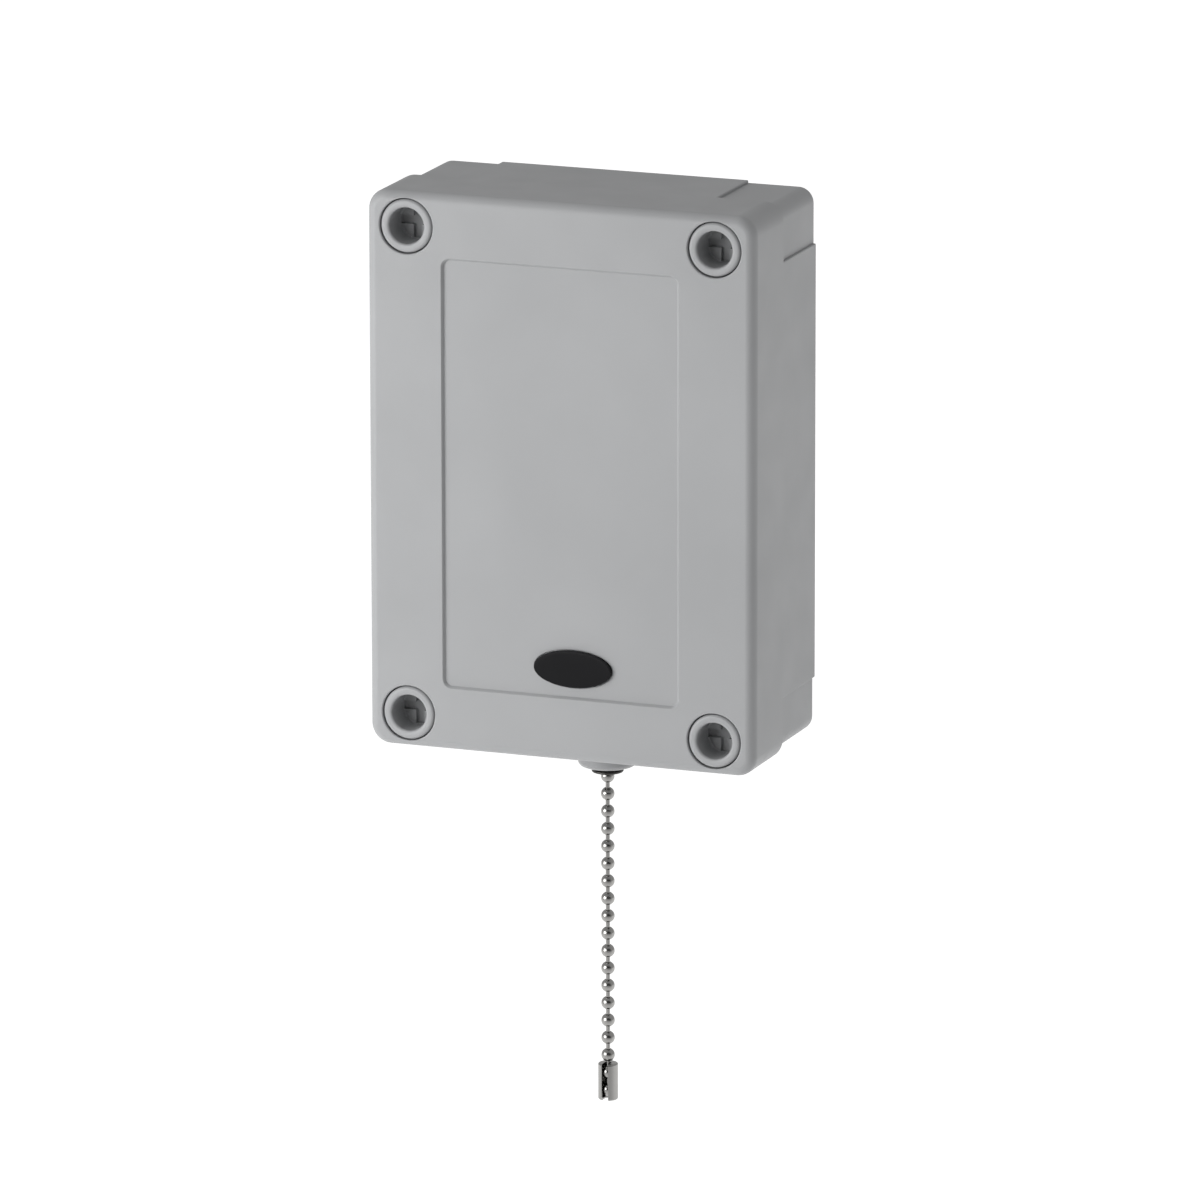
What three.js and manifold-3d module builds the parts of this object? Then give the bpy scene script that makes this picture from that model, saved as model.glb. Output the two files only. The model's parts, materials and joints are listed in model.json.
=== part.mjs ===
// Wall-mounted emergency pull cord alarm: a grey moulded box with a bead chain below it.
// Millimetres. The origin is the middle of the wall face, +Z is up and the front looks along -Y.
// A depth is a distance out from the wall, so it is the same as -Y.
import * as THREE from "three";
import { mergeVertices } from "three/addons/utils/BufferGeometryUtils.js";
import Module from "manifold-3d";

const wasm = await Module();
wasm.setup();

// Gaps between neighbouring pieces
const SEAT_GAP = 0.3;
const SLIDE_GAP = 0.4;
const CUT_OVERRUN = 1;
const WELD = 1e-4;

// Housing
const LID_WIDTH = 94.6;
const LID_HEIGHT = 130.6;
const HOUSING_DEPTH = 43;
const LID_DEPTH = 19;
const LID_CORNER = 4.8;
const LID_WALL = 2.5;
const LID_FRONT = 3;
const FRONT_FILLET = 2.4;
const BASE_INSET = 1.2;
const BASE_WALL = 3;
const BASE_BACK = 2.6;
const BASE_BACK_CHAMFER = 0.8;
const SIDE_PANEL = 0.7;
const SIDE_PANEL_BACK = 0.8;
const SIDE_PANEL_END_INSET = 15.8;
const SIDE_PANEL_TOP_INSET = 12.9;

// Stiffening ribs inside the walls
const RIB_THICK = 1.5;
const RIB_HIGH = 1.6;
const BASE_RIB_Z = 18;
const LID_RIB_Z = 41;

// Lip, seal and the rebate that covers them
const LIP_THICK = 1.2;
const LIP_HEIGHT = 2.4;
const SEAL_WIDTH = 1;
const SEAL_THICK = 0.9;

// Label panel and badge on the front
const PANEL_WIDTH = 56.4;
const PANEL_HEIGHT = 99.5;
const PANEL_CORNER = 2;
const PANEL_DEPTH = 0.8;
const PANEL_SLOPE = 0.8;
const BADGE_WIDTH = 18.9;
const BADGE_HEIGHT = 8.7;
const BADGE_THICK = 1.1;
const BADGE_EDGE = 0.5;
const BADGE_SEAT = 0.4;
const BADGE_RIGHT = 2.9;
const BADGE_DOWN = 43.4;

// Lid screws
const SCREW_SIDE_INSET = 9.8;
const SCREW_END_INSET = 8;
const SCREW_HEAD = 12.5;
const SCREW_HEAD_LONG = 8.6;
const SCREW_SUNK = 0.1;
const SCREW_EDGE = 0.5;
const SCREW_CUP = 8.5;
const SCREW_CUP_DEEP = 6.2;
const SCREW_SLOT_WIDTH = 1.3;
const SCREW_SLOT_LONG = 7;
const SCREW_SLOT_DEEP = 1.2;
const SCREW_SHANK = 5.4;
const SCREW_SHANK_LONG = 20;
const SCREW_POINT = 1.2;
const LID_COLUMN = 17.4;
const BASE_PILLAR = 13;
const PILLAR_BORE_FLOOR = 9;

// Wall fixing slots in the back
const FIXING_SLOT_WIDTH = 4.6;
const FIXING_SLOT_LONG = 7.5;
const FIXING_SIDE = 20;
const FIXING_END_INSET = 10.8;

// Circuit board and its posts
const BOARD_SIDE_CLEAR = 2.5;
const BOARD_END_CLEAR = 2.8;
const BOARD_THICK = 1.6;
const BOARD_CORNER = 2;
const BOARD_BACK = 7.5;
const BOARD_NOTCH_WIDTH = 13;
const POST_DIAMETER = 6.4;
const POST_EDGE_INSET = 5;
const POST_BORE_FLOOR = 1.2;
const BOARD_SCREW_SHANK = 2.6;
const BOARD_SCREW_LONG = 5.2;
const BOARD_SCREW_HEAD = 5.4;
const BOARD_SCREW_HEAD_HIGH = 1.9;
const BOARD_SCREW_SLOT = 0.9;
const BOARD_SCREW_SLOT_DEEP = 0.8;

// Pull exit: the bush through the bottom wall, with its seal, nut and eyelet
const PULL_DEPTH = 12.6;
const BUSH_FLANGE = 16;
const BUSH_FLANGE_LONG = 7.7;
const BUSH_ROUND = 1.2;
const BUSH_SHANK = 10;
const BUSH_SHANK_LONG = 8;
const BUSH_BORE = 6;
const BUSH_NECK_LONG = 2.6;
const WASHER_DIAMETER = 14.4;
const WASHER_THICK = 1;
const NUT_SIDES = 6;
const NUT_ACROSS_FLATS = 14;
const NUT_HIGH = 3.2;
const EYELET_FLANGE = 7.5;
const EYELET_FLANGE_THICK = 0.7;
const EYELET_BARREL_LONG = 4;

// Bead chain
const BEAD = 3.2;
const BEAD_PITCH = 4.2;
const BEAD_LINK = 1;
const HANGING_BEADS = 17;
const HIDDEN_BEADS = 4;
const COUPLED_BEADS = 2;
const EYELET_CLEAR = 0.5;
const BEAD_SUNK = 0.5;
const CONNECTOR_WALL = 0.45;

// Pull rod, spring and spring cap
const STEM = 3.4;
const SPRING_WIRE = 0.7;
const SPRING_MEAN = 7.2;
const SPRING_LONG = 11.2;
const SPRING_TURNS = 6;
const CAP_DIAMETER = 9.4;
const CAP_THICK = 2;
const CLIP_DIAMETER = 6.2;
const CLIP_THICK = 0.6;
const CLIP_MOUTH = 2.4;
const STEM_TIP_LONG = 2;

// Switch that the pull rod works
const SWITCH_LONG = 20;
const SWITCH_HIGH = 10;
const SWITCH_THICK = 6.4;
const SWITCH_END_PAST_PIVOT = 2.6;
const LEVER_ARM = 15.5;
const LEVER_OVERHANG = 2;
const LEVER_THICK = 0.5;
const LEVER_WIDTH = 3.8;
const LEVER_GAP = 1;
const KNUCKLE = 2.4;
const CHEEK_OVERLAP = 1;
const PIVOT_PIN = 0.9;
const PIVOT_PIN_LONG = 6;
const BUTTON_ARM = 3.5;
const BUTTON_DIAMETER = 1.8;
const BUTTON_LONG = 3;

// Battery, its holder and contacts
const CELL_DIAMETER = 17;
const CELL_LONG = 34.2;
const CELL_CAP_DIAMETER = 7;
const CELL_CAP_LONG = 1;
const HOLDER_WALL = 1.5;
const HOLDER_HIGH = 11;
const HOLDER_UP = 20;
const HOLDER_LEFT = 10;
const CONTACT_THICK = 0.4;
const CONTACT_WIDTH = 8;
const CONTACT_HIGH = 13;

// Parts soldered to the board, with their places on it
const CHIP_SIZE = 10;
const CHIP_THICK = 1.4;
const CHIP_X = -16;
const CHIP_Z = -14;
const RADIO_WIDTH = 16;
const RADIO_HEIGHT = 22;
const RADIO_THICK = 0.9;
const RADIO_X = 26;
const RADIO_Z = -8;
const SHIELD_MARGIN = 1.5;
const SHIELD_HIGH = 2.4;
const AERIAL_WIRE = 0.9;
const AERIAL_MEAN = 5;
const AERIAL_TURNS = 6;
const AERIAL_LONG = 18;
const AERIAL_X = 32;
const AERIAL_Z = 12;
const CAPACITOR_DIAMETER = 8;
const CAPACITOR_LONG = 11;
const CAPACITOR_X = -28;
const CAPACITOR_Z = -30;

// Facets round a full turn
const FINE = 24;
const MEDIUM = 16;
const SMALL = 12;
const OVAL_STEPS = 18;
const CORNER_STEPS = 5;
const FILLET_STEPS = 4;
const BEAD_SIDES = 10;
const BEAD_STEPS = 4;
const WIRE_SIDES = 6;
const COIL_STEPS = 9;
const CHAMFER_STEPS = 1;
const BADGE_EDGE_STEPS = 2;
const CONNECTOR_STEPS = 3;

// Places worked out from the sizes above
const BASE_DEPTH = HOUSING_DEPTH - LID_DEPTH - SEAT_GAP;
const LID_BACK = HOUSING_DEPTH - LID_DEPTH;
const BASE_WIDTH = LID_WIDTH - 2 * BASE_INSET;
const BASE_HEIGHT = LID_HEIGHT - 2 * BASE_INSET;
const BASE_CORNER = LID_CORNER - BASE_INSET;
const SCREW_X = LID_WIDTH / 2 - SCREW_SIDE_INSET;
const SCREW_Z = LID_HEIGHT / 2 - SCREW_END_INSET;
const SCREW_SEAT = HOUSING_DEPTH - SCREW_SUNK - SCREW_HEAD_LONG;
const FOUR_CORNERS = [[-1, 1], [1, 1], [-1, -1], [1, -1]];
const BOARD_WIDTH = BASE_WIDTH - 2 * (BASE_WALL + BOARD_SIDE_CLEAR);
const BOARD_HEIGHT = 2 * (SCREW_Z - BASE_PILLAR / 2 - BOARD_END_CLEAR);
const BOARD_FRONT = BOARD_BACK + BOARD_THICK;
const BOTTOM_OUTSIDE = -(BASE_HEIGHT / 2 + SIDE_PANEL);
const BOTTOM_INSIDE = -(BASE_HEIGHT / 2 - BASE_WALL);
const FLANGE_TOP = BOTTOM_OUTSIDE - 2 * SEAT_GAP - WASHER_THICK;
const FLANGE_BOTTOM = FLANGE_TOP - BUSH_FLANGE_LONG;
const BUSH_TOP = BOTTOM_INSIDE + BUSH_SHANK_LONG;
const NECK_BOTTOM = BUSH_TOP - BUSH_NECK_LONG;
const EYELET_BOTTOM = FLANGE_BOTTOM - SEAT_GAP - EYELET_FLANGE_THICK;
const FIRST_HANGING_BEAD = EYELET_BOTTOM - BEAD / 2 + BEAD_SUNK;
const TOP_BEAD = FIRST_HANGING_BEAD + HIDDEN_BEADS * BEAD_PITCH;
const LAST_BEAD = FIRST_HANGING_BEAD - (HANGING_BEADS + COUPLED_BEADS - 1) * BEAD_PITCH;
const BETWEEN_BEADS = BEAD_PITCH - BEAD - 2 * SEAT_GAP;
const ROD_SEAT = TOP_BEAD - BEAD / 2 - SEAT_GAP;
const ROD_BOTTOM = ROD_SEAT - BETWEEN_BEADS;
const ROD_CAVITY_TOP = TOP_BEAD + BEAD / 2 + SEAT_GAP;
const ROD_HEAD_TOP = NECK_BOTTOM - SEAT_GAP;
const SPRING_BOTTOM = BUSH_TOP + SEAT_GAP;
const CAP_BOTTOM = SPRING_BOTTOM + SPRING_LONG + SEAT_GAP;
const CAP_TOP = CAP_BOTTOM + CAP_THICK;
const CLIP_BOTTOM = CAP_TOP + SEAT_GAP;
const STEM_TOP = CLIP_BOTTOM + CLIP_THICK + STEM_TIP_LONG;
const LEVER_BOTTOM = STEM_TOP + SEAT_GAP;
const LEVER_TOP = LEVER_BOTTOM + LEVER_THICK;
const SWITCH_BOTTOM = LEVER_TOP + LEVER_GAP;
const SWITCH_RIGHT = LEVER_ARM + SWITCH_END_PAST_PIVOT;
const PIVOT_Z = LEVER_TOP - KNUCKLE / 2;
const SWITCH_BACK = PULL_DEPTH - SWITCH_THICK / 2;
const CELL_AXIS_DEPTH = BOARD_FRONT + SEAT_GAP + HOLDER_WALL + SEAT_GAP + CELL_DIAMETER / 2;
const CELL_SPAN = CELL_LONG + CELL_CAP_LONG;
const CONTACT_SPACE = CONTACT_THICK + 2 * SEAT_GAP;
const HOLDER_INSIDE_LONG = CELL_SPAN + 2 * CONTACT_SPACE;
const HOLDER_INSIDE_HIGH = CELL_DIAMETER + 2 * SEAT_GAP;

// Finishes
const GREY_PLASTIC = new THREE.MeshStandardMaterial({ color: 0xb9bbbb, roughness: 0.6, metalness: 0 });
const GREY_SCREW = new THREE.MeshStandardMaterial({ color: 0xb4b6b6, roughness: 0.55, metalness: 0 });
const BLACK_GLOSS = new THREE.MeshStandardMaterial({ color: 0x0c0c0d, roughness: 0.2, metalness: 0 });
const BLACK_RUBBER = new THREE.MeshStandardMaterial({ color: 0x1b1b1c, roughness: 0.9, metalness: 0 });
const DARK_METAL = new THREE.MeshStandardMaterial({ color: 0x3b3a38, roughness: 0.4, metalness: 1 });
const NICKEL = new THREE.MeshStandardMaterial({ color: 0xc9c6bf, roughness: 0.22, metalness: 1 });
const STEEL = new THREE.MeshStandardMaterial({ color: 0xb5b5b3, roughness: 0.35, metalness: 1 });
const BRASS = new THREE.MeshStandardMaterial({ color: 0xb58f4c, roughness: 0.35, metalness: 1 });
const COPPER = new THREE.MeshStandardMaterial({ color: 0xb2683f, roughness: 0.35, metalness: 1 });
const WHITE_NYLON = new THREE.MeshStandardMaterial({ color: 0xe8e6df, roughness: 0.55, metalness: 0 });
const BOARD_GREEN = new THREE.MeshStandardMaterial({ color: 0x1e5b34, roughness: 0.5, metalness: 0 });
const BLACK_PLASTIC = new THREE.MeshStandardMaterial({ color: 0x19191a, roughness: 0.5, metalness: 0 });
const CELL_SLEEVE = new THREE.MeshStandardMaterial({ color: 0x6c7d8c, roughness: 0.35, metalness: 0.2 });
const CAPACITOR_CAN = new THREE.MeshStandardMaterial({ color: 0x2a2f45, roughness: 0.4, metalness: 0.1 });

const alarm = new THREE.Group();
alarm.name = "emergency_pull_cord_alarm";

function addMesh(name, geometry, material) {
  const mesh = new THREE.Mesh(geometry, material);
  mesh.name = name;
  alarm.add(mesh);
}

// Solids and back again
function toSolid(geometry) {
  geometry.deleteAttribute("normal");
  geometry.deleteAttribute("uv");
  const merged = mergeVertices(geometry, WELD);
  const vertProperties = new Float32Array(merged.attributes.position.array);
  const triVerts = new Uint32Array(merged.index.array);
  return new wasm.Manifold(new wasm.Mesh({ numProp: 3, vertProperties, triVerts }));
}

function toGeometry(solid) {
  const mesh = solid.getMesh();
  const geometry = new THREE.BufferGeometry();
  geometry.setAttribute("position", new THREE.BufferAttribute(mesh.vertProperties, 3));
  geometry.setIndex(new THREE.BufferAttribute(mesh.triVerts, 1));
  return geometry;
}

function joinAll(solids) {
  return solids.reduce((sum, next) => sum.add(next));
}

function cutAll(solid, cutters) {
  return cutters.reduce((rest, next) => rest.subtract(next), solid);
}

// Outlines in the plane of the wall: x to the right and y up
function roundedRectangle(width, height, radius) {
  const right = width / 2;
  const top = height / 2;
  const shape = new THREE.Shape();
  shape.moveTo(radius - right, -top);
  shape.lineTo(right - radius, -top);
  shape.absarc(right - radius, radius - top, radius, -Math.PI / 2, 0, false);
  shape.lineTo(right, top - radius);
  shape.absarc(right - radius, top - radius, radius, 0, Math.PI / 2, false);
  shape.lineTo(radius - right, top);
  shape.absarc(radius - right, top - radius, radius, Math.PI / 2, Math.PI, false);
  shape.lineTo(-right, radius - top);
  shape.absarc(radius - right, radius - top, radius, Math.PI, Math.PI * 1.5, false);
  return shape;
}

function ellipseOutline(width, height) {
  const shape = new THREE.Shape();
  shape.absellipse(0, 0, width / 2, height / 2, 0, Math.PI * 2, false, 0);
  return shape;
}

function regularPolygon(sides, acrossFlats) {
  const radius = acrossFlats / 2 / Math.cos(Math.PI / sides);
  const points = [];
  for (let i = 0; i < sides; i += 1) {
    const angle = (Math.PI * 2 * i) / sides;
    points.push(new THREE.Vector2(radius * Math.cos(angle), radius * Math.sin(angle)));
  }
  return new THREE.Shape(points);
}

// An outline carried out from the wall, from one depth to another
function outward(shape, fromDepth, toDepth, curveSegments = CORNER_STEPS) {
  const geometry = new THREE.ExtrudeGeometry(shape, {
    depth: toDepth - fromDepth,
    bevelEnabled: false,
    curveSegments,
  });
  geometry.translate(0, 0, fromDepth);
  geometry.rotateX(Math.PI / 2);
  return geometry;
}

// The same with both rims rounded or chamfered
function outwardRounded(shape, fromDepth, toDepth, edge, bevelSegments, curveSegments = CORNER_STEPS) {
  const geometry = new THREE.ExtrudeGeometry(shape, {
    depth: toDepth - fromDepth - 2 * edge,
    bevelThickness: edge,
    bevelSize: edge,
    bevelOffset: -edge,
    bevelSegments,
    curveSegments,
  });
  geometry.translate(0, 0, fromDepth + edge);
  geometry.rotateX(Math.PI / 2);
  return geometry;
}

// An outline seen from below, carried upwards
function upward(shape, fromZ, toZ, curveSegments = CORNER_STEPS) {
  const geometry = new THREE.ExtrudeGeometry(shape, {
    depth: toZ - fromZ,
    bevelEnabled: false,
    curveSegments,
  });
  geometry.translate(0, 0, fromZ);
  return geometry;
}

function block(fromX, toX, fromDepth, toDepth, fromZ, toZ) {
  const geometry = new THREE.BoxGeometry(toX - fromX, toDepth - fromDepth, toZ - fromZ);
  geometry.translate((fromX + toX) / 2, -(fromDepth + toDepth) / 2, (fromZ + toZ) / 2);
  return geometry;
}

function pegOutward(diameter, fromDepth, toDepth, sides) {
  const geometry = new THREE.CylinderGeometry(diameter / 2, diameter / 2, toDepth - fromDepth, sides);
  geometry.translate(0, -(fromDepth + toDepth) / 2, 0);
  return geometry;
}

function pegUpward(diameter, fromZ, toZ, sides) {
  const geometry = new THREE.CylinderGeometry(diameter / 2, diameter / 2, toZ - fromZ, sides);
  geometry.rotateX(Math.PI / 2);
  geometry.translate(0, 0, (fromZ + toZ) / 2);
  return geometry;
}

// A turned form: each point is a radius and a height, from the lower end of the axis up
function turnedUpward(points, sides) {
  const geometry = new THREE.LatheGeometry(points.map(([r, z]) => new THREE.Vector2(r, z)), sides);
  geometry.rotateX(Math.PI / 2);
  return geometry;
}

// A turned form along the depth: each point is a radius and a depth, from the wall outwards
function turnedOutward(points, sides) {
  const geometry = new THREE.LatheGeometry(points.map(([r, d]) => new THREE.Vector2(r, d)), sides);
  geometry.rotateX(Math.PI);
  return geometry;
}

function arcPoints(centreRadius, centreHeight, radius, fromAngle, toAngle, steps) {
  const points = [];
  for (let i = 0; i <= steps; i += 1) {
    const angle = fromAngle + ((toAngle - fromAngle) * i) / steps;
    points.push([centreRadius + radius * Math.cos(angle), centreHeight + radius * Math.sin(angle)]);
  }
  return points;
}

// A coil of round wire standing on its axis
class CoilCurve extends THREE.Curve {
  constructor(meanRadius, height, turns) {
    super();
    this.meanRadius = meanRadius;
    this.height = height;
    this.turns = turns;
  }

  getPoint(t, target = new THREE.Vector3()) {
    const angle = Math.PI * 2 * this.turns * t;
    const x = this.meanRadius * Math.cos(angle);
    const y = this.meanRadius * Math.sin(angle);
    return target.set(x, y, this.height * t);
  }
}

function coil(meanDiameter, wire, overallHeight, turns) {
  const curve = new CoilCurve(meanDiameter / 2, overallHeight - wire, turns);
  const geometry = new THREE.ExtrudeGeometry(regularPolygon(WIRE_SIDES, wire), {
    steps: turns * COIL_STEPS,
    extrudePath: curve,
  });
  geometry.translate(0, 0, wire / 2);
  return geometry;
}

// Rear half of the housing
function base() {
  const outside = toSolid(outwardRounded(
    roundedRectangle(BASE_WIDTH, BASE_HEIGHT, BASE_CORNER),
    0, BASE_DEPTH + BASE_BACK_CHAMFER, BASE_BACK_CHAMFER, CHAMFER_STEPS,
  ));
  const beyondRim = toSolid(block(
    -LID_WIDTH, LID_WIDTH, BASE_DEPTH, BASE_DEPTH + LID_DEPTH, -LID_HEIGHT, LID_HEIGHT,
  ));
  const tray = cutAll(joinAll([outside, ...sidePanels()]), [beyondRim, baseCavity()]);
  const pillars = FOUR_CORNERS.map(([side, end]) => {
    const pillar = pegOutward(BASE_PILLAR, BASE_BACK / 2, BASE_DEPTH, MEDIUM);
    pillar.translate(side * SCREW_X, 0, end * SCREW_Z);
    return toSolid(pillar).add(cornerFill(side, end)).intersect(outside);
  });
  const posts = boardPoints().map(([x, z]) => {
    const post = pegOutward(POST_DIAMETER, BASE_BACK / 2, BOARD_BACK - SEAT_GAP, MEDIUM);
    post.translate(x, 0, z);
    return toSolid(post);
  });
  const body = joinAll([tray, ...pillars, ...posts, ...baseRibs(), registerLip()]);
  return toGeometry(cutAll(body, [...pillarBores(), ...postBores(), ...fixingSlots(), bushHole()]));
}

// The space between a pillar and its corner of the housing is solid
function cornerFill(side, end) {
  const width = (BASE_WIDTH - BASE_WALL) / 2 - SCREW_X;
  const height = (BASE_HEIGHT - BASE_WALL) / 2 - SCREW_Z;
  const fill = block(-width / 2, width / 2, BASE_BACK / 2, BASE_DEPTH, -height / 2, height / 2);
  fill.translate(side * (SCREW_X + width / 2), 0, end * (SCREW_Z + height / 2));
  return toSolid(fill);
}

// Upright ribs on the inside of the long walls
function baseRibs() {
  const centre = BASE_WIDTH / 2 - BASE_WALL;
  return FOUR_CORNERS.map(([side, end]) => {
    const rib = block(
      -RIB_HIGH, RIB_HIGH, BASE_BACK / 2, BASE_DEPTH - 2 * LIP_HEIGHT, -RIB_THICK / 2, RIB_THICK / 2,
    );
    rib.translate(side * centre, 0, end * BASE_RIB_Z);
    return toSolid(rib);
  });
}

function baseCavity() {
  const shape = roundedRectangle(
    BASE_WIDTH - 2 * BASE_WALL, BASE_HEIGHT - 2 * BASE_WALL, BASE_CORNER - BASE_WALL,
  );
  return toSolid(outward(shape, BASE_BACK, BASE_DEPTH + CUT_OVERRUN));
}

// The middle of each side stands a little proud of the corners
function sidePanels() {
  const alongX = BASE_WIDTH / 2 - SIDE_PANEL_END_INSET;
  const alongZ = BASE_HEIGHT / 2 - SIDE_PANEL_TOP_INSET;
  const x = BASE_WIDTH / 2 + SIDE_PANEL;
  const z = BASE_HEIGHT / 2 + SIDE_PANEL;
  return [
    block(-x, x, SIDE_PANEL_BACK, BASE_DEPTH, -alongZ, alongZ),
    block(-alongX, alongX, SIDE_PANEL_BACK, BASE_DEPTH, -z, z),
  ].map(toSolid);
}

// An upstand inside the lid's walls, left out where the lid's screw columns come down
function registerLip() {
  const outerWidth = LID_WIDTH - 2 * (LID_WALL + SEAT_GAP);
  const outerHeight = LID_HEIGHT - 2 * (LID_WALL + SEAT_GAP);
  const corner = LID_CORNER - LID_WALL;
  const from = BASE_DEPTH - LIP_HEIGHT;
  const to = BASE_DEPTH + LIP_HEIGHT;
  const outer = toSolid(outward(roundedRectangle(outerWidth, outerHeight, corner), from, to));
  const inner = toSolid(outward(
    roundedRectangle(outerWidth - 2 * LIP_THICK, outerHeight - 2 * LIP_THICK, corner - LIP_THICK),
    from - CUT_OVERRUN, to + CUT_OVERRUN,
  ));
  const columns = FOUR_CORNERS.map(([side, end]) => {
    const column = pegOutward(LID_COLUMN + 2 * SEAT_GAP, BASE_DEPTH, to + CUT_OVERRUN, FINE);
    column.translate(side * SCREW_X, 0, end * SCREW_Z);
    return toSolid(column);
  });
  return cutAll(outer, [inner, ...columns]);
}

function pillarBores() {
  return FOUR_CORNERS.map(([side, end]) => {
    const bore = pegOutward(SCREW_SHANK + 2 * SEAT_GAP, PILLAR_BORE_FLOOR, BASE_DEPTH + CUT_OVERRUN, SMALL);
    bore.translate(side * SCREW_X, 0, end * SCREW_Z);
    return toSolid(bore);
  });
}

function boardPoints() {
  const x = BOARD_WIDTH / 2 - POST_EDGE_INSET;
  const z = BOARD_HEIGHT / 2 - POST_EDGE_INSET;
  return FOUR_CORNERS.map(([side, end]) => [side * x, end * z]);
}

function postBores() {
  return boardPoints().map(([x, z]) => {
    const bore = pegOutward(BOARD_SCREW_SHANK + 2 * SEAT_GAP, POST_BORE_FLOOR, BOARD_BACK, SMALL);
    bore.translate(x, 0, z);
    return toSolid(bore);
  });
}

function fixingSlots() {
  const outline = roundedRectangle(FIXING_SLOT_LONG, FIXING_SLOT_WIDTH, FIXING_SLOT_WIDTH / 2);
  const z = LID_HEIGHT / 2 - FIXING_END_INSET;
  return FOUR_CORNERS.map(([side, end]) => {
    const slot = outward(outline, -CUT_OVERRUN, BASE_BACK + CUT_OVERRUN);
    slot.translate(side * FIXING_SIDE, 0, end * z);
    return toSolid(slot);
  });
}

function bushHole() {
  const hole = pegUpward(BUSH_SHANK + 2 * SEAT_GAP, -LID_HEIGHT / 2 - CUT_OVERRUN, NECK_BOTTOM, MEDIUM);
  hole.translate(0, -PULL_DEPTH, 0);
  return toSolid(hole);
}

// Front half of the housing
function lid() {
  const outside = toSolid(outwardRounded(
    roundedRectangle(LID_WIDTH, LID_HEIGHT, LID_CORNER),
    LID_BACK - FRONT_FILLET, HOUSING_DEPTH, FRONT_FILLET, FILLET_STEPS,
  ));
  const behindRim = toSolid(block(-LID_WIDTH, LID_WIDTH, 0, LID_BACK, -LID_HEIGHT, LID_HEIGHT));
  const cavity = toSolid(outward(
    roundedRectangle(LID_WIDTH - 2 * LID_WALL, LID_HEIGHT - 2 * LID_WALL, LID_CORNER - LID_WALL),
    0, HOUSING_DEPTH - LID_FRONT,
  ));
  const columns = FOUR_CORNERS.map(([side, end]) => {
    const column = pegOutward(LID_COLUMN, LID_BACK, HOUSING_DEPTH - LID_FRONT / 2, FINE);
    column.translate(side * SCREW_X, 0, end * SCREW_Z);
    return toSolid(column).intersect(outside);
  });
  const shell = joinAll([cutAll(outside, [behindRim, cavity]), ...columns, ...lidRibs()]);
  return toGeometry(cutAll(shell, [...lidScrewHoles(), sealRebate(), panelRecess(), badgeSeat()]));
}

// Ribs across the inside of the front, behind the ends of the label panel
function lidRibs() {
  const inside = HOUSING_DEPTH - LID_FRONT;
  const reach = LID_WIDTH / 2 - LID_WALL / 2;
  return [-LID_RIB_Z, LID_RIB_Z].map((z) => toSolid(block(
    -reach, reach, inside - RIB_HIGH, inside + LID_FRONT / 4, z - RIB_THICK / 2, z + RIB_THICK / 2,
  )));
}

function lidScrewHoles() {
  return FOUR_CORNERS.flatMap(([side, end]) => {
    const well = pegOutward(
      SCREW_HEAD + 2 * SLIDE_GAP, SCREW_SEAT - SEAT_GAP, HOUSING_DEPTH + CUT_OVERRUN, FINE,
    );
    const bore = pegOutward(SCREW_SHANK + 2 * SLIDE_GAP, 0, HOUSING_DEPTH, SMALL);
    well.translate(side * SCREW_X, 0, end * SCREW_Z);
    bore.translate(side * SCREW_X, 0, end * SCREW_Z);
    return [toSolid(well), toSolid(bore)];
  });
}

function ringAround(outerWidth, outerHeight, corner, width, fromDepth, toDepth) {
  const outer = toSolid(outward(roundedRectangle(outerWidth, outerHeight, corner), fromDepth, toDepth));
  const inner = toSolid(outward(
    roundedRectangle(outerWidth - 2 * width, outerHeight - 2 * width, corner - width),
    fromDepth - CUT_OVERRUN, toDepth + CUT_OVERRUN,
  ));
  return outer.subtract(inner);
}

// The seal lies on the base's rim, outside the lip and under a rebate of the lid
function sealSpace(growth, fromDepth, toDepth) {
  const halfGap = LID_WALL - SEAL_WIDTH - growth;
  return ringAround(
    LID_WIDTH - 2 * halfGap, LID_HEIGHT - 2 * halfGap, LID_CORNER - halfGap,
    SEAL_WIDTH + 2 * growth, fromDepth, toDepth,
  );
}

function sealRebate() {
  return sealSpace(SEAT_GAP, LID_BACK - CUT_OVERRUN, LID_BACK + SEAL_THICK + SEAT_GAP);
}

function seal() {
  return toGeometry(sealSpace(0, LID_BACK, LID_BACK + SEAL_THICK));
}

function panelRecess() {
  const recess = outwardRounded(
    roundedRectangle(PANEL_WIDTH + 2 * PANEL_SLOPE, PANEL_HEIGHT + 2 * PANEL_SLOPE, PANEL_CORNER),
    HOUSING_DEPTH - PANEL_DEPTH, HOUSING_DEPTH + CUT_OVERRUN + PANEL_SLOPE, PANEL_SLOPE, CHAMFER_STEPS,
  );
  return toSolid(recess);
}

function badgeSeat() {
  const floor = HOUSING_DEPTH - PANEL_DEPTH - BADGE_SEAT;
  const seat = outward(
    ellipseOutline(BADGE_WIDTH + 2 * SEAT_GAP, BADGE_HEIGHT + 2 * SEAT_GAP),
    floor, HOUSING_DEPTH + CUT_OVERRUN, OVAL_STEPS,
  );
  seat.translate(BADGE_RIGHT, 0, -BADGE_DOWN);
  return toSolid(seat);
}

function badge() {
  const back = HOUSING_DEPTH - PANEL_DEPTH - BADGE_SEAT + SEAT_GAP;
  const plate = outwardRounded(
    ellipseOutline(BADGE_WIDTH, BADGE_HEIGHT),
    back, back + BADGE_THICK, BADGE_EDGE, BADGE_EDGE_STEPS, OVAL_STEPS,
  );
  plate.translate(BADGE_RIGHT, 0, -BADGE_DOWN);
  return plate;
}

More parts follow.
